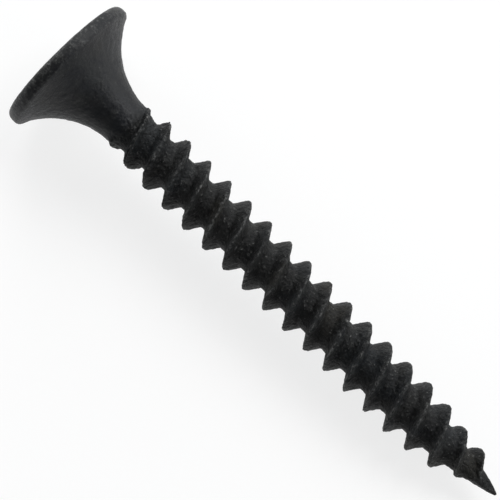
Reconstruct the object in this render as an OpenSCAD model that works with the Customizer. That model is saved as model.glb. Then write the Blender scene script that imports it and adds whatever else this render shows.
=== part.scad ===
// Drywall screw: bugle head with a cross recess, plain neck, twin-start thread and a sharp point.
// The screw lies along X. The origin is the centre of the head's flat face, +X points out of that face,
// and the tip is at x = -total_len. Each module is written with the screw standing on its head, where z is
// the depth below the face, and lie_down() turns it into place.

/* [Length] */
// Length from the head's face to the tip
total_len = 32; // [30:0.5:45]
// Length of the end that tapers to the tip
point_len = 7.6; // [7:0.1:9]

/* [Head] */
// Widest diameter of the head
head_d = 8.13; // [7.9:0.01:8.4]
// Diameter of the part of the face that is truly flat
face_flat_d = 5.8; // [5.5:0.1:6.2]
// Diameter at which the face turns into the rounded rim
face_d = 7.64; // [7.2:0.02:7.7]
// Depth by which the face has fallen where the rim begins
face_drop = 0.03; // [0.02:0.01:0.1]
// Depth of the head's widest line below the face
rim_depth = 0.42; // [0.3:0.02:0.5]
// Height of the straight band round the widest line
band_h = 0.16; // [0.1:0.02:0.2]
// Radius of the rounded edge between the band and the flare
edge_r = 0.2; // [0.1:0.02:0.25]
// Radius of the hollow flare under the head
flare_r = 4.54; // [4.4:0.02:4.7]

/* [Cross recess] */
// Width of each wing
wing_w = 1.12; // [1:0.02:1.3]
// Length across two wings at the face
wing_span = 5.16; // [4.8:0.02:5.3]
// Slope of the wings' ends, from the screw's axis, in degrees
wing_slope = 26.5; // [24:0.5:28]
// Depth at which the wings meet the pointed bottom
wing_depth = 2.3; // [2:0.05:2.4]
// Full depth of the recess
recess_depth = 2.75; // [2.6:0.05:2.9]
// Length of the narrow floor at the bottom of each wing
floor_len = 0.6; // [0.4:0.1:0.8]
// Radius of the four rounded corners between the wings
corner_r = 0.85; // [0.6:0.05:0.9]
// Diameter of the tapering middle of the recess, at its bottom
middle_bottom_d = 1.2; // [1:0.1:1.4]
// Angle of the first wing round the screw, in degrees
wing_turn = 58; // [0:1:90]

/* [Shank] */
// Diameter of the plain neck, which is the wire the screw is rolled from
neck_d = 2.6; // [2.4:0.02:2.7]
// Diameter of the thread's root
core_d = 2.04; // [1.9:0.01:2.1]
// Depth below the face at which the thread rolling begins
roll_start = 5.05; // [5:0.05:5.5]

/* [Thread] */
// Diameter over the thread's crests
crest_d = 3.5; // [3.3:0.01:3.6]
// Advance of each thread start in one turn
lead = 2.965; // [2.8:0.005:3.1]
// Slope of each flank from a plane across the screw, in degrees
flank = 31; // [28:1:36]
// Half width of the crest
crest_half = 0.05; // [0.04:0.01:0.07]

/* [Hidden] */
$fn = 96;
steel = [0.17, 0.17, 0.18];
steps = 30;                  // rings in one turn of a thread
bed = 0.02;                  // how deep a thread's foot is set into the core
least_h = 0.02;              // height at which a fading ridge stops
fade_len = 1.3;              // length of the bare point ahead of the thread
crowd_len = 2.7;             // stretch after roll_start in which the ridges stand closer together
crowd_shift = 0.3;           // how far the first ridges are moved along by that
round_h = 0.12;              // height of the rounded top of a ridge
arc_steps = 20;              // straight pieces in the flare
rim_steps = 8;               // straight pieces in the rim
fall_steps = 4;              // straight pieces in the falling part of the face
edge_steps = 5;              // straight pieces in the rounded edge
clear = 0.5;                 // how far the recess's cutting shapes stand above the face

head_r = head_d / 2;
face_r = face_d / 2;
neck_r = neck_d / 2;
core_r = core_d / 2;
crest_r = crest_d / 2;
flare_centre_r = neck_r + flare_r;
edge_centre_r = head_r - edge_r;
edge_z = rim_depth + band_h;
flare_turn = asin((flare_centre_r - edge_centre_r) / (flare_r + edge_r));
neck_z = edge_z + (flare_r + edge_r) * cos(flare_turn);
taper_z = total_len - point_len;
phase_z = total_len - fade_len;   // depth at which the first start crosses the +Z side near the tip

// Radius of the core at each depth: neck, run-out of the rolling, plain core, and the taper to the tip
core_line = [
    [neck_z, neck_r],
    [roll_start, neck_r],
    [roll_start + 0.6, core_r + 0.1],
    [roll_start + 1.85, core_r],
    [taper_z, core_r],
    [total_len - 4.7, 0.91 * core_r],
    [total_len - 2.6, 0.69 * core_r],
    [total_len - 1.5, 0.5 * core_r],
    [total_len - 0.5, 0.2 * core_r],
    [total_len, 0.04 * core_r]
];

// Radius of the crest at each depth, first where the thread rises from the neck, then where it fades
rising = [
    [roll_start - 0.35, neck_r - bed],
    [roll_start, neck_r + 0.12],
    [roll_start + 1.3, crest_r - 0.14],
    [roll_start + 2.7, crest_r - 0.04],
    [roll_start + 4.2, crest_r],
    [total_len - 6.5, crest_r]
];
fading_one = [
    [total_len - 5, crest_r - 0.12],
    [total_len - 3.5, crest_r - 0.37],
    [total_len - 2.05, crest_r - 0.52],
    [total_len - 1.5, crest_r - 0.92],
    [total_len - 1.15, 0.3 * core_r]
];
fading_two = [
    [total_len - 5, crest_r - 0.12],
    [total_len - 3.5, crest_r - 0.38],
    [total_len - 2.8, crest_r - 0.71],
    [total_len - 2.05, crest_r - 1],
    [total_len - 1.7, 0.4 * core_r]
];

function core_at(z) = lookup(z, core_line);

// Points along an arc, from angle a to angle b, in a (radius, depth) plane
function arc(centre, r, a, b, n) =
    [for (i = [0:n]) centre + r * [cos(a + (b - a) * i / n), sin(a + (b - a) * i / n)]];

// The ridges are closer together next to the head, where the rolling starts
function crest_z(z) = z + crowd_shift * pow(max(0, (roll_start + crowd_len - z) / 3), 2);

module lie_down() {
    rotate([0, -90, 0]) children();
}

// Cross section of a ridge at depth z: foot, shoulder, crest, shoulder, foot
function ridge(z, crest) =
    let (foot = core_at(z) - bed)
    let (top = max(crest, foot + least_h))
    let (shoulder = top - 0.3 * min(round_h, top - foot))
    let (slope = tan(flank))
    let (half = crest_half + (top - foot) * slope)
    let (low = crest_half + (top - shoulder) * slope)
    let (flat = 0.6 * crest_half)
    [
        [core_at(z - half) - bed, -half],
        [shoulder, -low],
        [top, -flat],
        [top, flat],
        [shoulder, low],
        [core_at(z + half) - bed, half]
    ];

// One thread start: a ridge carried along a helix, closed at both ends
module thread(crest_line, turn) {
    first = crest_line[0][0];
    last = crest_line[len(crest_line) - 1][0];
    rings = floor((last - first) * steps / lead);
    corners = 6;
    points = [
        for (i = [0:rings])
            let (z = first + i * lead / steps)
            let (at = crest_z(z))
            let (a = turn + 360 * (z - phase_z) / lead)
            for (p = ridge(at, lookup(z, crest_line)))
                [p[0] * cos(a), p[0] * sin(a), at + p[1]]
    ];
    sides = [
        for (i = [0:rings - 1], j = [0:corners - 1])
            let (here = i * corners + j)
            let (beside = i * corners + (j + 1) % corners)
            each [
                [here, beside, here + corners],
                [beside, beside + corners, here + corners]
            ]
    ];
    start_cap = [for (j = [1:corners - 2]) [0, j + 1, j]];
    far = rings * corners;
    end_cap = [for (j = [1:corners - 2]) [far, far + j, far + j + 1]];
    polyhedron(points = points, faces = concat(sides, start_cap, end_cap), convexity = 10);
}

// One pair of opposite wings, drawn from the side and as thick as a wing is wide
module wing_pair() {
    half_span = wing_span / 2;
    run_above = clear * tan(wing_slope);
    run_below = wing_depth * tan(wing_slope);
    rotate([90, 0, 0])
        linear_extrude(height = wing_w, center = true)
            polygon([
                [-half_span - run_above, -clear],
                [half_span + run_above, -clear],
                [half_span - run_below, wing_depth],
                [floor_len / 2, recess_depth],
                [-floor_len / 2, recess_depth],
                [-half_span + run_below, wing_depth]
            ]);
}

// Cross recess: two pairs of wings and a tapering middle, whose four corners are left rounded
module recess() {
    corner_at = wing_w / 2 + corner_r;
    middle_r = norm([corner_at, wing_w / 2]);   // reaches to where the rounded corners meet the wings
    rotate([0, 0, wing_turn]) {
        wing_pair();
        rotate([0, 0, 90]) wing_pair();
        difference() {
            cylinder(r1 = middle_r, r2 = middle_bottom_d / 2, h = recess_depth - 0.1);
            for (x = [-corner_at, corner_at], y = [-corner_at, corner_at])
                translate([x, y, -clear])
                    cylinder(r = corner_r, h = recess_depth + 2 * clear);
        }
    }
}

// The bugle head: nearly flat face, rounded rim, and a hollow flare down to the neck
module head() {
    flat_r = face_flat_d / 2;
    fall_w = face_r - flat_r;
    rim_w = head_r - face_r;
    rim_h = rim_depth - face_drop;
    rim_step = 90 / rim_steps;
    face_fall = [
        for (i = [0:fall_steps])
            [flat_r + fall_w * i / fall_steps, face_drop * pow(i / fall_steps, 2)]
    ];
    rim = [
        for (i = [1:rim_steps])
            [face_r + rim_w * sin(i * rim_step), rim_depth - rim_h * cos(i * rim_step)]
    ];
    edge = arc([edge_centre_r, edge_z], edge_r, 0, 90 - flare_turn, edge_steps);
    flare = arc([flare_centre_r, neck_z], flare_r, 270 - flare_turn, 180, arc_steps);
    color(steel)
        lie_down()
            difference() {
                rotate_extrude()
                    polygon(concat([[0, 0]], face_fall, rim, edge, flare, [[0, neck_z]]));
                recess();
            }
}

// The solid core under the head: plain neck, run-out, and the thread's root
module shank() {
    stations = [for (p = core_line) if (p[0] <= taper_z) [p[1], p[0]]];
    color(steel)
        lie_down()
            rotate_extrude()
                polygon(concat([[0, neck_z]], stations, [[0, taper_z]]));
}

module thread_one() {
    color(steel)
        lie_down()
            thread(concat(rising, fading_one), 0);
}

module thread_two() {
    color(steel)
        lie_down()
            thread(concat(rising, fading_two), 180);
}

// The tapering end that the threads run out on
module point() {
    stations = [for (p = core_line) if (p[0] >= taper_z) [p[1], p[0]]];
    color(steel)
        lie_down()
            rotate_extrude()
                polygon(concat([[0, taper_z]], stations, [[0, total_len]]));
}

head();
shank();
thread_one();
thread_two();
point();
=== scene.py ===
import math

import bmesh
import bpy
import numpy as np
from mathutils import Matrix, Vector


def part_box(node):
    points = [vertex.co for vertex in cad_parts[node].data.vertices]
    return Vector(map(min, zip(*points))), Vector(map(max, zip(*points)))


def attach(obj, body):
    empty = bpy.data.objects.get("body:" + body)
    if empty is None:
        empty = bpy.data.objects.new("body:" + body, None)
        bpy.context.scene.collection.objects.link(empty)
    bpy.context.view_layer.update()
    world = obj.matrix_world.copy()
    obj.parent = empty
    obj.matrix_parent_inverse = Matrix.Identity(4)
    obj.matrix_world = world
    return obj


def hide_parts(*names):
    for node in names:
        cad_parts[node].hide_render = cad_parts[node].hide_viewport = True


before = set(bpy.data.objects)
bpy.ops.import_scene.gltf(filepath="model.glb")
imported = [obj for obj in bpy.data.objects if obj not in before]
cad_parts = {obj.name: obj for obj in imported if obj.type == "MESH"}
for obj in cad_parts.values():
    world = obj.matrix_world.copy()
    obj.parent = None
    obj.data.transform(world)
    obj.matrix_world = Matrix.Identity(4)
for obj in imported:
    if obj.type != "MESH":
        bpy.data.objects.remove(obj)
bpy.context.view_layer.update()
print("frame loaded:", ", ".join(sorted(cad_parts)))

# Lengths are in millimetres, unless a note says otherwise. "Deep" is the distance below the head's face,
# along the screw, and "turn" is the angle round the screw from straight up (+Z) towards +Y.

mm = 0.001
headLow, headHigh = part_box("head")
headRadius = (headHigh.y - headLow.y) / 2 / mm
screwLength = -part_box("point")[0].x / mm

steel = {
    "waves": [  # unevenness in three layers: length, seed, number of waves and share of each
        (1.3, 3, 26, 0.55),
        (0.42, 4, 26, 0.45),
        (0.19, 5, 60, 0.5),
    ],
    "mergeWithin": 0.0015,  # points closer than this become one
    "emptyBelow": 0.0005,  # and edges shorter than this are dropped
}


def smoothStep(value, low, high):
    # 0 below low, 1 above high, and 3t^2 - 2t^3 between
    t = np.clip((value - low) / (high - low), 0, 1)
    return t * t * (3 - 2 * t)


def smoothMax(a, b, blend):
    # the larger of two heights, rounded over "blend" where they cross
    return (a + b + np.sqrt((a - b) ** 2 + blend**2)) / 2


def easedTable(value, table, reach):
    # a table read with straight lines between its rows, then averaged over +-reach to round its corners
    rows = np.array(table)
    offsets = np.linspace(-reach, reach, 9)
    return np.mean([np.interp(value + o, rows[:, 0], rows[:, 1]) for o in offsets], axis=0)


def unevenness(points, size, seed, waves):
    # a smooth random field: the sum of sine waves about "size" mm long, each in a random direction
    rng = np.random.default_rng(seed)
    way = rng.normal(size=(3, waves))
    way /= np.linalg.norm(way, axis=0)
    way *= 2 * math.pi / (size * rng.uniform(0.7, 1.6, waves))
    return np.sin(points @ way + rng.uniform(0, 2 * math.pi, waves)).sum(axis=1) / math.sqrt(waves / 2)


def onScrew(deep, radius, turn):
    # depth, radius and angle to x, y, z in millimetres
    return np.stack([-deep, radius * np.sin(turn), radius * np.cos(turn)], axis=-1)


def makePiece(name, points, quads, layers):
    # a mesh from whole arrays; doubles are merged, empty faces dropped and all faces turned outwards
    mesh = bpy.data.meshes.new(name)
    mesh.vertices.add(len(points))
    mesh.vertices.foreach_set("co", (points * mm).astype(np.float32).ravel())
    mesh.loops.add(quads.size)
    mesh.loops.foreach_set("vertex_index", quads.astype(np.int32).ravel())
    mesh.polygons.add(len(quads))
    mesh.polygons.foreach_set("loop_start", np.arange(0, quads.size, 4, dtype=np.int32))
    for key, values in layers.items():
        layer = mesh.attributes.new(key, "FLOAT", "POINT")
        layer.data.foreach_set("value", values.astype(np.float32))
    mesh.update(calc_edges=True)
    work = bmesh.new()
    work.from_mesh(mesh)
    bmesh.ops.remove_doubles(work, verts=work.verts, dist=steel["mergeWithin"] * mm)
    bmesh.ops.dissolve_degenerate(work, edges=work.edges, dist=steel["emptyBelow"] * mm)
    bmesh.ops.recalc_face_normals(work, faces=work.faces)
    work.to_mesh(mesh)
    work.free()
    piece = bpy.data.objects.new(name, mesh)
    bpy.context.scene.collection.objects.link(piece)
    return piece


def roughen(piece, amount):
    # pushes each point along its own normal by the hammered, rolled unevenness of the steel
    mesh = piece.data
    count = len(mesh.vertices)
    at, normal = np.zeros(count * 3, np.float32), np.zeros(count * 3, np.float32)
    mesh.vertices.foreach_get("co", at)
    mesh.vertex_normals.foreach_get("vector", normal)
    at, normal = at.reshape(-1, 3) / mm, normal.reshape(-1, 3)
    push = sum(unevenness(at, size, seed, waves) * share for size, seed, waves, share in steel["waves"])
    at = at + normal * (push * amount(at))[:, None]
    mesh.vertices.foreach_set("co", (at * mm).astype(np.float32).ravel())
    mesh.update()


def smoothShade(piece, angle):
    # smooth shading, with edges sharper than the angle left sharp
    mesh = piece.data
    mesh.polygons.foreach_set("use_smooth", np.ones(len(mesh.polygons), bool))
    mesh.set_sharp_from_angle(angle=math.radians(angle))


# The trunk is the turned steel that the head and the threaded shank share: flare, neck, core and taper.

trunk = {
    "border": 4.4,  # where the head piece ends and the threaded piece starts
    "flareRadius": 4.54,
    "neckRadius": 1.3,
    "neckDeep": 4.9,
    "rollStart": 5.05,
    "coreRadius": 1.022,
    "tipRadius": 0.06,
    "ease": 0.1,  # rounding of the corners between the stretches
    "joinFade": 0.4,  # the unevenness of the steel fades to none this close to the border
}


def trunkRadius(deep):
    # An arc down to the neck, then the rolled core, which sinks at the run-out and tapers at the point.
    # Within its own radius of the end the tip is a quarter of an ellipse, so it closes.
    inside = np.clip(trunk["neckDeep"] - deep, 0, trunk["flareRadius"])
    flare = trunk["neckRadius"] + trunk["flareRadius"] - np.sqrt(trunk["flareRadius"] ** 2 - inside**2)
    neck, core, tip = trunk["neckRadius"], trunk["coreRadius"], trunk["tipRadius"]
    start, end = trunk["rollStart"], screwLength
    table = [
        (start - 0.1, neck),
        (start + 0.1, neck - 0.08),
        (start + 0.55, core + 0.08),
        (start + 1.85, core),
        (end - 7, core),
        (end - 5.8, core - 0.05),
        (end - 4.2, core - 0.13),
        (end - 2.85, core - 0.31),
        (end - 1.5, core - 0.525),
        (end - 0.4, 0.21),
        (end - 0.1, 0.1),
        (end, tip),
    ]
    rolled = easedTable(deep, table, trunk["ease"])
    nose = np.sqrt(np.clip(1 - (np.clip(deep - end + tip, 0, None) / tip) ** 2, 0, 1))
    return np.where(deep < start - 2 * trunk["ease"], flare, rolled) * nose


recess = {
    "wingTurn": 58,  # angle of the first wing
    "wingHalf": 0.56,
    "narrowing": 0.02,  # of each side of a wing, for each millimetre of depth
    "wingReach": 2.58,
    "wingSlope": 26.5,
    "wingDeep": 2.3,
    "bottomDeep": 2.75,
    "hollowCorner": 0.88,
    "smallestHollow": 0.06,
    "endCorner": 0.07,
    "middle": (1.75, 0.6),  # distance of the hollow corners from the axis, at the face and at the bottom
    "lip": 0.06,
    "lipWear": 0.9,
    "wallWear": 0.5,
    "wallWearDeep": 0.15,  # the wear of the walls shrinks to about a third over this depth
    "endBand": (0.1, 0.03),  # a wall turns into a wing's end between these distances from its reach
    "endWearAndLight": (1.5, 0.375),  # rubbing of the sloping ends of the lower and upper wings: driver wear, and on the lower ones more, as painted light where light from above falls
    "endWearAndLightDeep": (0.7, 1.6),  # depths between which that wear and painted light fade
    "endLater": 0.7,  # painted shade reaches the wing ends this much deeper than the other walls
    "paintedShadeDeep": (0.35, 1.3),  # depths between which painted shade darkens the walls as much as the bottom
    "rough": 0.004,
}


def wingReach(deep):
    # distance of the wing ends from the axis; they slope inwards
    return recess["wingReach"] - deep * math.tan(math.radians(recess["wingSlope"]))


def crossOutline(deep, grow, share):
    # Outline of the recess at one depth, one wing after another: hollow corner, side, end corner, end,
    # and back. The hollow corners shrink as the tapering middle of the recess closes on them.
    half = recess["wingHalf"] - recess["narrowing"] * deep + grow
    reach = wingReach(deep) + grow
    wide, narrow = recess["middle"]
    middle = wide + (narrow - wide) * deep / recess["bottomDeep"]
    hollow = (middle - math.sqrt(2) * half) / (math.sqrt(2) - 1)
    hollow = min(max(hollow, recess["smallestHollow"]), recess["hollowCorner"]) - grow
    corner = recess["endCorner"] + grow

    def bow(x, y, radius, start, end, count):
        a = np.radians(start + (end - start) * np.arange(count * share) / (count * share))
        return np.stack([x + radius * np.cos(a), y + radius * np.sin(a)], axis=1)

    def straight(p, q, count):
        t = (np.arange(count * share) / (count * share))[:, None]
        return np.array(p) * (1 - t) + np.array(q) * t

    bend = half + hollow
    wing = np.concatenate([  # 48 points for a share of 1
        bow(bend, -bend, hollow, 135, 90, 7),
        straight((bend, -half), (reach - corner, -half), 8),
        bow(reach - corner, -half + corner, corner, -90, 0, 4),
        straight((reach, -half + corner), (reach, half - corner), 10),
        bow(reach - corner, half - corner, corner, 0, 90, 4),
        straight((reach - corner, half), (bend, half), 8),
        bow(bend, bend, hollow, -90, -135, 7),
    ])
    turned = []
    for quarter in range(4):
        c, s = math.cos(quarter * math.pi / 2), math.sin(quarter * math.pi / 2)
        turned.append(wing @ np.array([[c, s], [-s, c]]))
    return np.concatenate(turned)


head = {
    "share": 1,  # each ring has 192 points times this
    "rings": {  # number of rings on each stretch, from the neck to the bottom of the recess
        "flare": 60,
        "lowerEdge": 10,
        "rim": 15,
        "fall": 7,
        "mouth": 16,
        "lip": 6,
        "walls": 22,
        "bottom": 10,
    },
    "flatRadius": 2.9,
    "mouthRadius": 3.2,  # inside this the rings change from circles to the outline of the recess
    "faceRadius": 3.81,
    "faceDrop": 0.035,
    "rimDeep": 0.42,
    "band": 0.16,
    "edge": 0.2,
    "aside": 0.018,  # the head is struck a little off centre, towards +Y
    "asideFrom": 2,  # fully so above this depth, and not at all at the border
    "thicker": 0.04,  # its rim is thicker on the same side
    "thickerAt": (2.7, 3.6, 0.75, 0.35),  # radii where that begins and is full, its depth and half-width
    "rimWear": 0.3,
    "cornerWear": 0.35,  # added half-way round the rim
    "faceWear": 0.15,
    "mouthWear": 0.6,
    "rough": 0.009,
    "sharpAngle": 55,
}


def faceDeep(radius):
    # the face is flat round the recess and falls away towards the rim as a parabola
    fall = np.clip((radius - head["flatRadius"]) / (head["faceRadius"] - head["flatRadius"]), 0, 1)
    return head["faceDrop"] * fall**2


def bugleHead():
    # Closed rings from the neck up the flare, over the rim and the face, and down the recess to its bottom.
    # Each point also carries its wear, with painted light on the lower wing ends, and its painted shade in
    # the recess, for the coating.
    columns = 192 * head["share"]
    plain = np.radians(-45 + 360 * np.arange(columns) / columns)
    around = np.stack([np.cos(plain), np.sin(plain)], axis=1)
    wingTurn = math.radians(recess["wingTurn"])
    count = head["rings"]
    rings = []

    def addRing(flat, deep, wearAndLight=0.0, paintedShade=0.0):
        rings.append((flat, *(np.broadcast_to(value, columns) for value in (deep, wearAndLight, paintedShade))))

    def cross(deep, grow=0.0):
        return crossOutline(deep, grow, head["share"])

    edgeCentre = headRadius - head["edge"]
    edgeDeep = head["rimDeep"] + head["band"]
    lift = trunk["neckRadius"] + trunk["flareRadius"] - edgeCentre
    flareStart = math.asin((trunk["neckDeep"] - trunk["border"]) / trunk["flareRadius"])
    flareEnd = math.pi / 2 - math.asin(lift / (trunk["flareRadius"] + head["edge"]))
    for part in (0, 0.5):  # the disc that closes the neck
        addRing(part * trunk["neckRadius"] * around, trunk["border"])
    for a in np.linspace(flareStart, flareEnd, count["flare"]):
        deep = trunk["neckDeep"] - trunk["flareRadius"] * math.sin(a)
        addRing(float(trunkRadius(np.array(deep))) * around, deep)
    for a in np.linspace(flareEnd, 0, count["lowerEdge"])[1:]:  # an arc that meets the flare smoothly
        radius = edgeCentre + head["edge"] * math.cos(a)
        addRing(radius * around, edgeDeep + head["edge"] * math.sin(a), head["rimWear"])
    for t in (0.33, 0.67):  # band
        addRing(headRadius * around, edgeDeep - t * head["band"], head["rimWear"])
    for a in np.linspace(0, math.pi / 2, count["rim"])[:-1]:  # a quarter of an ellipse
        radius = head["faceRadius"] + (headRadius - head["faceRadius"]) * math.cos(a)
        deep = head["rimDeep"] - (head["rimDeep"] - head["faceDrop"]) * math.sin(a)
        addRing(radius * around, deep, head["rimWear"] + head["cornerWear"] * math.sin(2 * a))
    for radius in np.linspace(head["faceRadius"], head["mouthRadius"], count["fall"])[:-1]:
        addRing(radius * around, float(faceDeep(radius)), head["faceWear"])
    mouth = cross(0.0, recess["lip"])
    polar = np.arctan2(mouth[:, 1], mouth[:, 0])
    polar = plain + (polar - plain + math.pi) % (2 * math.pi) - math.pi
    for t in np.linspace(1, 0, count["mouth"])[:-1]:  # from a circle to the outline of the cross
        a = polar + (plain - polar) * smoothStep(t, 0, 1)
        circle = head["mouthRadius"] * np.stack([np.cos(a), np.sin(a)], axis=1)
        flat = mouth * (1 - t) + circle * t
        addRing(flat, faceDeep(np.linalg.norm(flat, axis=1)), head["mouthWear"] * (1 - t) ** 6)
    for a in np.linspace(0, math.pi / 2, count["lip"]):  # a quarter of a circle
        deep = recess["lip"] * (1 - math.cos(a))
        addRing(cross(deep, recess["lip"] * (1 - math.sin(a))), deep, recess["lipWear"])
    for deep in np.linspace(recess["lip"], recess["wingDeep"], count["walls"])[1:]:
        flat, reach = cross(deep), wingReach(deep)
        endStarts, endFull = recess["endBand"]
        wingEnd = smoothStep(np.abs(flat).max(axis=1), reach - endStarts, reach - endFull)
        # painted light: the ends of the lower wings, which face the light from above, are rubbed lighter
        # than the upper ones
        lower = np.cos(plain + wingTurn) < 0
        endWearAndLight = np.where(lower, *recess["endWearAndLight"]) * wingEnd
        endWearAndLight = endWearAndLight * (1 - smoothStep(deep, *recess["endWearAndLightDeep"]))
        wearAndLight = recess["wallWear"] * math.exp(-deep / recess["wallWearDeep"]) + endWearAndLight
        # painted shade: the walls darken with depth, the wing ends deeper down
        addRing(flat, deep, wearAndLight, smoothStep(deep - recess["endLater"] * wingEnd, *recess["paintedShadeDeep"]))
    for t in np.linspace(1, 0, count["bottom"])[1:]:  # a shallow bowl, 1 - t^1.6, closed at one point
        deep = recess["wingDeep"] + (recess["bottomDeep"] - recess["wingDeep"]) * (1 - t**1.6)
        # painted shade: the bottom is fully dark
        addRing(cross(recess["wingDeep"]) * t, deep, 0.0, 1.0)

    points = []
    for flat, deep, wearAndLight, paintedShade in rings:
        turn = np.arctan2(flat[:, 1], flat[:, 0]) + wingTurn
        radius = np.linalg.norm(flat, axis=1)
        inner, outer, middle, spread = head["thickerAt"]
        underRim = smoothStep(radius, inner, outer) * np.exp(-(((deep - middle) / spread) ** 2))
        ring = onScrew(deep + head["thicker"] * underRim * np.sin(turn), radius, turn)
        ring[:, 1] += head["aside"] * (1 - smoothStep(deep, head["asideFrom"], trunk["border"]))
        points.append(ring)
    here = np.arange(len(rings) - 1)[:, None] * columns + np.arange(columns)
    beside = np.arange(len(rings) - 1)[:, None] * columns + (np.arange(columns) + 1) % columns
    quads = np.stack([here, beside, beside + columns, here + columns], axis=-1).reshape(-1, 4)
    layers = {
        "wearAndLight": np.concatenate([ring[2] for ring in rings]),
        "paintedShade": np.concatenate([ring[3] for ring in rings]),
        "smooth": np.ones(len(rings) * columns),
    }
    piece = makePiece("bugleHead", np.concatenate(points), quads, layers)

    def amount(at):
        # least in the recess, which the punch leaves smooth, and none where the shank joins on
        deep, radius = -at[:, 0], np.hypot(at[:, 1], at[:, 2])
        inRecess = (deep < 3) & (radius < trunkRadius(deep) - 0.4) & (deep > 0.02)
        rough = np.where(inRecess, recess["rough"], head["rough"])
        return rough * smoothStep(trunk["border"] - deep, 0, trunk["joinFade"])

    roughen(piece, amount)
    smoothShade(piece, head["sharpAngle"])
    return piece


thread = {
    "columns": 128,
    "rows": 34,  # rows from one crest to the next
    "rowCrowding": 0.09,  # the rows stand closer at the crests
    "lead": 2.965,
    "crestRadius": 1.745,
    "flank": 29,  # degrees from straight across
    "crestBend": 0.03,
    "rootBend": 0.12,
    "phase": screwLength - 1.3,  # depth of a crest of the first start at the top of the screw
    "young": (1.3, 3.9),  # past the start of the rolling, half-formed ridges become whole between these
    "first": (0.1, 0.8),  # and the very first stretch of ridge ends between these
    "old": (7.5, 4.5),  # before the tip, whole ridges turn blunt between these
    "youngBlunt": 0.045,  # half the width of the flat on a half-formed crest
    "firstSharper": 0.7,  # share of it that the very first stretch lacks
    "oldBlunt": 0.005,  # half the width of the flat on a crest near the point
    "lowBlunt": 0.045,  # added to both on the side towards +Y
    "youngRise": (0.06, -0.08),  # height added to half-formed crests, and added again towards +Y
    "firstRise": (0.02, 0.03),  # the same for the very first stretch
    "seam": (0.05, 0.07),  # depth and half-width of the seam along the top of a half-formed ridge
    "fade": 0.35,  # a crest sunk this far into the trunk no longer shows
    "rubbed": 0.085,  # half-width of the rubbed line along a crest
    "rubbedAbove": (0.02, 0.3),  # heights over the trunk between which crests turn from unrubbed to rubbed
    "earlyCrowding": (0.25, 2.7, 3),  # size, end past the start of the rolling, and length of the shift
    "lateCrowding": (0.09, 2, 0.6),  # size, distance before the tip, and half-width of the shift
    "bare": (1.7, 1.2),  # before the tip, the point turns bare between these
    "bend": 0.1,  # how far the tip leans towards -Y
    "bendStarts": 8,  # this far before the tip
    "bendLength": 7.2,
    "pinch": 0.07,  # how far the four marks of the pinching dies swell and shrink the bare point
    "rough": 0.016,
    "youngRough": 0.008,
    "sharpAngle": 60,
}


def crestTables():
    # radius of the crest at each depth, one table for each of the two starts
    top, end, start = thread["crestRadius"], screwLength, trunk["rollStart"]
    neck, core = trunk["neckRadius"], trunk["coreRadius"]
    rising = [
        (start - 0.5, neck - 0.3),
        (start - 0.25, neck - 0.02),
        (start, neck + 0.14),
        (start + 1.3, top - 0.13),
        (start + 2.7, top - 0.04),
        (start + 4.2, top),
        (end - 6.5, top),
    ]
    one = [
        (end - 5, top - 0.12),
        (end - 3.5, top - 0.37),
        (end - 2.05, top - 0.55),
        (end - 1.5, top - 0.95),
        (end - 1.15, 0.1 * core),
    ]
    two = [
        (end - 5, top - 0.12),
        (end - 3.5, top - 0.38),
        (end - 2.8, top - 0.7),
        (end - 2.05, top - 0.97),
        (end - 1.6, 0.1 * core),
    ]
    return rising + one, rising + two


def crowd(deep):
    # The ridges stand a little closer together where the rolling starts, by a shift that grows as a square,
    # and again near the point, by a shift shaped like a bell.
    size, end, length = thread["earlyCrowding"]
    early = size * np.clip((trunk["rollStart"] + end - deep) / length, 0, None) ** 2
    size, before, width = thread["lateCrowding"]
    return deep + early - size * np.exp(-(((deep - screwLength + before) / width) ** 2))


def findEven(deep):
    # the even depth that crowd() moves to "deep", by repeated correction
    even = deep
    for _ in range(40):
        even = even + (deep - crowd(even))
    return float(even)


def nearestCrest(deep, turn):
    # distance along the screw to the nearest crest line, that crest's depth, and which start it belongs to
    half = thread["lead"] / 2
    count = (deep - thread["phase"]) / half - turn / math.pi
    nearest = np.round(count)
    away = (count - nearest) * half
    return away, deep - away, nearest.astype(int) % 2


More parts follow.
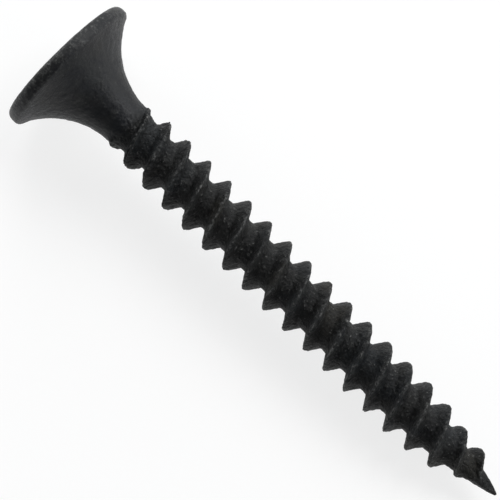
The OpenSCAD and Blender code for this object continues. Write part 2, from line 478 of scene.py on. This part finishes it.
def threadRadius(even, turn):
    # Two ridges on the trunk. A ridge falls from its crest like a hyperbola that straightens into the
    # flank, and the larger of ridge and trunk is taken, with a rounded root. Near the start of the rolling
    # and near the point the crests are blunt, most on the side towards +Y, and half-formed ridges have a
    # seam along their top. A ridge fades away where its crest sinks into the trunk.
    away, crestEven, start = nearestCrest(even, turn)
    deep = crowd(even)
    crestDeep = crowd(crestEven)
    one, two = [easedTable(crestDeep, table, 0.2) for table in crestTables()]
    top = np.where(start == 0, one, two)
    pastRoll, beforeTip = crestDeep - trunk["rollStart"], screwLength - crestDeep
    young = 1 - smoothStep(pastRoll, *thread["young"])
    first = 1 - smoothStep(pastRoll, *thread["first"])
    old = smoothStep(beforeTip, *thread["old"])
    lowSide = 0.5 + 0.5 * np.sin(turn)
    lowBlunt = thread["lowBlunt"] * lowSide
    blunt = (young - thread["firstSharper"] * first) * (thread["youngBlunt"] + lowBlunt)
    blunt = blunt + old * (thread["oldBlunt"] + lowBlunt)
    rise, lowRise = thread["youngRise"]
    top = top + (young - first) * (rise + lowRise * lowSide)
    rise, lowRise = thread["firstRise"]
    top = top + first * (rise + lowRise * lowSide)
    bend = thread["crestBend"]
    side = np.sqrt(np.clip(np.abs(away) - blunt, 0, None) ** 2 + bend**2) - bend
    ridge = top - side / math.tan(math.radians(thread["flank"]))
    seamDeep, seamHalf = thread["seam"]
    ridge = ridge - seamDeep * young * np.exp(-((away / seamHalf) ** 2))
    trunkHere = trunkRadius(deep)
    blend = thread["rootBend"] * np.minimum(1, trunkHere / trunk["coreRadius"])
    joined = smoothMax(trunkHere, ridge, blend)
    radius = trunkHere + (joined - trunkHere) * smoothStep(top, trunkHere - thread["fade"], trunkHere)
    wearAndLight = np.exp(-((away / thread["rubbed"]) ** 2)) * smoothStep(top - trunkHere, *thread["rubbedAbove"])
    return deep, radius, wearAndLight


def threadedShank():
    # The grid's rows follow the helix, so the crests stay sharp; at the border and the tip they end on
    # one depth. Each point also carries how worn and how smooth it is, for the coating.
    columns, perCrest = thread["columns"], thread["rows"]
    half = thread["lead"] / 2
    begin = findEven(trunk["border"])
    t = np.arange(perCrest) / perCrest
    spread = t - thread["rowCrowding"] * np.sin(2 * math.pi * t)
    firstCrest = thread["phase"] - math.ceil((thread["phase"] - begin + 2 * half) / half) * half
    crests = int(math.ceil((screwLength - firstCrest) / half)) + 1
    rowDeep = (firstCrest + half * (np.arange(crests)[:, None] + spread[None, :])).ravel()
    angle = 2 * math.pi * np.arange(columns) / columns
    even = rowDeep[:, None] + half * angle[None, :] / math.pi
    even = np.where(even < begin + 0.006, begin, even)
    even = np.where(even > screwLength - 0.002, screwLength, even)
    turn = np.broadcast_to(angle, even.shape)
    deep, radius, wearAndLight = threadRadius(even, turn)
    radius = np.where(even >= screwLength, 0, radius)
    deep = np.where(even <= begin, trunk["border"], deep)

    # four soft corners where the pinching dies met round the bare point, which leans a little
    bareStarts, bareFull = thread["bare"]
    bare = smoothStep(deep, screwLength - bareStarts, screwLength - bareFull)
    radius = radius * (1 + thread["pinch"] * bare * np.cos(4 * (turn - 0.5)))
    points = onScrew(deep, radius, turn)
    bent = np.clip((deep - screwLength + thread["bendStarts"]) / thread["bendLength"], 0, 1)
    points[..., 1] -= thread["bend"] * bent**1.5

    rows = len(rowDeep)
    index = np.arange(rows)[:, None] * columns + np.arange(columns)
    inner = [index[:-1, :-1], index[:-1, 1:], index[1:, 1:], index[1:, :-1]]
    shift = 2 * perCrest  # one turn on, the last column meets the first one two crests further down
    wrap = [index[: -1 - shift, -1], index[shift:-1, 0], index[shift + 1 :, 0], index[1:-shift, -1]]
    # a disc closes the end that meets the head
    ring = index[0]
    centre = rows * columns + np.arange(columns)
    disc = [ring, np.roll(ring, -1), np.roll(centre, -1), centre]
    quads = np.concatenate([np.stack(corners, axis=-1).reshape(-1, 4) for corners in (inner, wrap, disc)])
    points = np.concatenate([points.reshape(-1, 3), np.tile([-trunk["border"], 0, 0], (columns, 1))])
    layers = {
        "wearAndLight": np.append(wearAndLight.ravel(), np.zeros(columns)),
        "smooth": 1 - smoothStep(-points[:, 0], trunk["rollStart"] - 0.4, trunk["rollStart"] + 0.3),
    }
    piece = makePiece("threadedShank", points, quads, layers)

    def amount(at):
        # strongest on the half-formed ridges under the head, and none at the border and the tip
        deep = -at[:, 0]
        young = 1 - smoothStep(deep, trunk["rollStart"] + 1.5, trunk["rollStart"] + 5)
        afterBorder = smoothStep(deep, trunk["border"], trunk["border"] + trunk["joinFade"])
        beforeTip = 1 - smoothStep(deep, screwLength - 1.5, screwLength)
        return (thread["rough"] + thread["youngRough"] * young) * afterBorder * beforeTip

    roughen(piece, amount)
    smoothShade(piece, thread["sharpAngle"])
    return piece


def mathNode(tree, kind, *values):
    # a Math node whose inputs are numbers or links
    node = tree.nodes.new("ShaderNodeMath")
    node.operation = kind
    for socket, value in zip(node.inputs, values):
        if isinstance(value, (int, float)):
            socket.default_value = value
        else:
            tree.links.new(value, socket)
    return node.outputs[0]


def rampNode(tree, source, low, high, a=0.0, b=1.0):
    # goes smoothly from a to b while the source goes from low to high
    node = tree.nodes.new("ShaderNodeMapRange")
    node.interpolation_type = "SMOOTHSTEP"
    for name, value in (("From Min", low), ("From Max", high), ("To Min", a), ("To Max", b)):
        node.inputs[name].default_value = value
    tree.links.new(source, node.inputs["Value"])
    return node.outputs["Result"]


def mixNode(tree, factor, a, b):
    # a mix of two colours, each a fixed one or a link
    node = tree.nodes.new("ShaderNodeMix")
    node.data_type = "RGBA"
    tree.links.new(factor, node.inputs["Factor"])
    for socket, value in ((node.inputs[6], a), (node.inputs[7], b)):
        if isinstance(value, tuple):
            socket.default_value = value
        else:
            tree.links.new(value, socket)
    return node.outputs[2]


coating = {
    "dark": (0.0048, 0.005, 0.0052, 1),
    "light": (0.0165, 0.017, 0.0165, 1),
    "cool": (0.0085, 0.0115, 0.0145, 1),
    "warm": (0.0185, 0.016, 0.0105, 1),
    "blued": (0.0105, 0.0115, 0.0145, 1),
    "bare": (0.135, 0.135, 0.132, 1),
    # the colour of the pits, and of the painted shade in the recess
    "pitAndShade": (0.003, 0.003, 0.0031, 1),
    "noises": {  # scale, detail and roughness of each pattern
        "patches": (900, 3, 0.55),  # blotches about a millimetre across
        "mottle": (3600, 4, 0.6),
        "crust": (8200, 3, 0.6),  # the crystals of the coating, in clusters
        "grain": (21000, 2, 0.6),
        "tint": (420, 1, 0.55),
    },
    "gloss": 0.228,
    "rubColour": 0.85,  # how much of the bare steel shows where the coating is rubbed
    "rubGloss": 0.16,
    "rubMetal": 0.6,
    # painted shade in the recess: how dark it is, and how much rougher
    "paintedShadeStrength": 0.6,
    "paintedShadeRough": 0.2,
    "smoothGloss": 0.08,
    "bumpStrength": 0.8,
    "bumpHeight": 0.15,
}


def blackPhosphate():
    # A matt black crust: dark and light patches, tints, pits and bare specks. It is rubbed to the steel
    # where the wear layer says, which also paints light on the lower wing ends of the recess; painted shade
    # darkens it deep in the recess, and it is finer on the head and neck, where "smooth" is 1.
    mat = bpy.data.materials.new("blackPhosphate")
    mat.use_nodes = True
    tree = mat.node_tree
    shader = tree.nodes["Principled BSDF"]
    place = tree.nodes.new("ShaderNodeTexCoord").outputs["Object"]

    def noise(name):
        node = tree.nodes.new("ShaderNodeTexNoise")
        for socket, value in zip(("Scale", "Detail", "Roughness"), coating["noises"][name]):
            node.inputs[socket].default_value = value
        tree.links.new(place, node.inputs["Vector"])
        return node.outputs["Fac"]

    def layer(name):
        node = tree.nodes.new("ShaderNodeAttribute")
        node.attribute_name = name
        return node.outputs["Fac"]

    def ramp(source, low, high, a=0.0, b=1.0):
        return rampNode(tree, source, low, high, a, b)

    def mix(factor, a, b):
        return mixNode(tree, factor, a, b)

    def times(a, b):
        return mathNode(tree, "MULTIPLY", a, b)

    def plus(a, b):
        return mathNode(tree, "ADD", a, b)

    def minus(a, b):
        return mathNode(tree, "SUBTRACT", a, b)

    patches, mottle, crust, grain, tint = [noise(name) for name in coating["noises"]]
    wearAndLight, smooth, paintedShade = layer("wearAndLight"), layer("smooth"), layer("paintedShade")

    colour = mix(ramp(patches, 0.36, 0.68), coating["dark"], coating["light"])
    colour = mix(ramp(tint, 0.5, 0.72, 0, 0.55), colour, coating["cool"])
    colour = mix(ramp(tint, 0.28, 0.46, 0.45, 0), colour, coating["warm"])
    colour = mix(ramp(mottle, 0.5, 0.72, 0, 0.6), colour, coating["light"])
    colour = mix(times(smooth, ramp(patches, 0.4, 0.6, 0.6, 0.35)), colour, coating["blued"])
    pits = times(ramp(crust, 0.34, 0.52, 1, 0), ramp(smooth, 0, 1, 1, 0.15))
    colour = mix(pits, colour, coating["pitAndShade"])
    specks = times(ramp(crust, 0.56, 0.7), ramp(mottle, 0.42, 0.6, 0.2, 1))
    specks = times(specks, ramp(grain, 0.4, 0.6, 0.2, 1.3))
    colour = mix(times(specks, ramp(smooth, 0, 1, 0.9, 0.25)), colour, coating["bare"])
    # wear, and painted light on the lower wing ends
    rubAndLight = times(times(wearAndLight, ramp(crust, 0.4, 0.6)), ramp(mottle, 0.44, 0.6, 0.05, 1))
    colour = mix(times(rubAndLight, coating["rubColour"]), colour, coating["bare"])
    # painted shade: deep in the recess the colour goes to the pit colour
    colour = mix(times(paintedShade, coating["paintedShadeStrength"]), colour, coating["pitAndShade"])
    tree.links.new(colour, shader.inputs["Base Color"])

    rough = minus(ramp(crust, 0.3, 0.7, 0.48, 0.66), times(rubAndLight, coating["rubGloss"]))
    rough = minus(rough, times(smooth, coating["smoothGloss"]))
    rough = plus(rough, times(paintedShade, coating["paintedShadeRough"]))
    tree.links.new(rough, shader.inputs["Roughness"])
    tree.links.new(times(rubAndLight, coating["rubMetal"]), shader.inputs["Metallic"])
    shader.inputs["Specular IOR Level"].default_value = coating["gloss"]

    height = plus(plus(times(mottle, 0.5), times(crust, 0.4)), times(grain, 0.1))
    bump = tree.nodes.new("ShaderNodeBump")
    bump.inputs["Strength"].default_value = coating["bumpStrength"]
    bump.inputs["Distance"].default_value = coating["bumpHeight"] * mm
    tree.links.new(times(height, ramp(smooth, 0, 1, 1.8, 0.5)), bump.inputs["Height"])
    tree.links.new(bump.outputs["Normal"], shader.inputs["Normal"])
    return mat


studio = {
    "tableSize": 3.0,  # metres each way from the head
    "tableGap": 0.01,
    "tableColour": (0.24, 0.24, 0.24, 1),
    "tableRough": 0.9,
    "tableGloss": 0.1,
    "tableGlow": 0.79,
    "restsOn": 6,  # the crest this far from the tip lies on the table
    "lights": {  # azimuth (0 at -Y, 90 at the head's end), elevation, watts and width in metres
        "keyLight": (-8, 40, 0.54, 0.14),
        "headLight": (45, 40, 0.26, 0.14),
        "lowHeadLight": (45, 15, 0.09, 0.14),
        "lowPointLight": (-50, 15, 0.21, 0.14),
        "endLight": (90, 22, 0.12, 0.2),
        "faceLight": (90, 5, 0.2, 0.06),  # low and narrow, so the head shades the shank from it
    },
    "lightAway": 0.3,  # metres
    "airColour": (0.84, 0.95, 1, 1),
    "airChanges": (0.06, 0.2),  # height at which the air turns from white to its own colour
    "lampSide": (0.2, -0.8, 0),  # the coloured air is brighter this way
    "ceilingStarts": (0.2, 0.5),  # height at which the air darkens
    "horizon": 0.9,
    "zenith": 0.03,
    "centreDeep": 13.921,  # the camera looks at this depth, this far towards +Y, from this far above
    "centreSide": 0.045,
    "distance": 105.0,
    "frameWidth": 26.04,
    "roll": -134.66,
}


def layTable():
    # The screw rests on its rim and its crests, so the table leans a few degrees against the screw's axis.
    crestDeep = screwLength - studio["restsOn"]
    slope = math.atan2(headRadius - thread["crestRadius"], crestDeep - head["rimDeep"])
    size = studio["tableSize"]
    centre = np.array([-head["rimDeep"], 0, -headRadius - studio["tableGap"]]) * mm
    along = np.array([-math.cos(slope), 0, math.sin(slope)])
    across = np.array([0, 1, 0])
    corners = [centre + size * (a * along + b * across) for a, b in ((1, 1), (1, -1), (-1, -1), (-1, 1))]
    mesh = bpy.data.meshes.new("table")
    mesh.from_pydata([tuple(corner) for corner in corners], [], [(0, 3, 2, 1)])
    table = bpy.data.objects.new("table", mesh)
    bpy.context.scene.collection.objects.link(table)
    mat = bpy.data.materials.new("paleTable")
    mat.use_nodes = True
    shader = mat.node_tree.nodes["Principled BSDF"]
    shader.inputs["Base Color"].default_value = studio["tableColour"]
    shader.inputs["Roughness"].default_value = studio["tableRough"]
    shader.inputs["Specular IOR Level"].default_value = studio["tableGloss"]
    shader.inputs["Emission Color"].default_value = (1, 1, 1, 1)
    shader.inputs["Emission Strength"].default_value = studio["tableGlow"]
    mesh.materials.append(mat)


def softLight(name, azimuth, elevation, power, width):
    # a round lamp that looks at the middle of the screw and doesn't show itself
    lamp = bpy.data.lights.new(name, "AREA")
    lamp.shape = "DISK"
    lamp.size = width
    lamp.energy = power
    holder = bpy.data.objects.new(name, lamp)
    bpy.context.scene.collection.objects.link(holder)
    holder.visible_camera = False
    a, e = math.radians(azimuth), math.radians(elevation)
    way = Vector((math.sin(a) * math.cos(e), -math.cos(a) * math.cos(e), math.sin(e)))
    holder.location = Vector((-screwLength * mm / 2, 0, 0)) + way * studio["lightAway"]
    holder.rotation_mode = "QUATERNION"
    holder.rotation_quaternion = (-way).to_track_quat("-Z", "Y")


def lightStudio():
    # lamps, and round them air that is white at the horizon, then bluish and brighter towards the lamps,
    # with a dark ceiling; heights go from 0 at the horizon to 1 straight up
    for name, settings in studio["lights"].items():
        softLight(name, *settings)
    world = bpy.data.worlds.new("studioAir")
    bpy.context.scene.world = world
    world.use_nodes = True
    tree = world.node_tree
    back = tree.nodes["Background"]
    way = tree.nodes.new("ShaderNodeTexCoord").outputs["Generated"]
    split = tree.nodes.new("ShaderNodeSeparateXYZ")
    tree.links.new(way, split.inputs["Vector"])
    height = split.outputs["Z"]
    tinted = rampNode(tree, height, *studio["airChanges"])
    lampSide = tree.nodes.new("ShaderNodeVectorMath")
    lampSide.operation = "DOT_PRODUCT"
    lampSide.inputs[1].default_value = studio["lampSide"]
    tree.links.new(way, lampSide.inputs[0])
    uneven = mathNode(tree, "MULTIPLY_ADD", lampSide.outputs["Value"], tinted, 1)
    strength = rampNode(tree, height, *studio["ceilingStarts"], studio["horizon"], studio["zenith"])
    tree.links.new(mathNode(tree, "MULTIPLY", uneven, strength), back.inputs["Strength"])
    tree.links.new(mixNode(tree, tinted, (1, 1, 1, 1), studio["airColour"]), back.inputs["Color"])


def placeCamera():
    # straight above the screw, with a long lens, turned so that the head is at the top left
    lens = bpy.data.cameras.new("camera")
    lens.sensor_width = 36
    lens.lens = 36 * studio["distance"] / studio["frameWidth"]
    lens.clip_start = 0.005
    lens.clip_end = 20
    camera = bpy.data.objects.new("camera", lens)
    bpy.context.scene.collection.objects.link(camera)
    camera.location = (-studio["centreDeep"] * mm, studio["centreSide"] * mm, studio["distance"] * mm)
    camera.rotation_euler = (0, 0, math.radians(studio["roll"]))
    bpy.context.scene.camera = camera
    bpy.context.scene.view_settings.view_transform = "Standard"


placeCamera()
lightStudio()
layTable()
print("table, lights and camera placed")

phosphate = blackPhosphate()
headPiece = bugleHead()
print("head made:", len(headPiece.data.polygons), "faces")
shankPiece = threadedShank()
print("threaded shank made:", len(shankPiece.data.polygons), "faces")

for piece, nodes in ((headPiece, ["head"]), (shankPiece, ["shank", "thread_one", "thread_two", "point"])):
    piece.data.materials.append(phosphate)
    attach(piece, "root")
    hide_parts(*nodes)
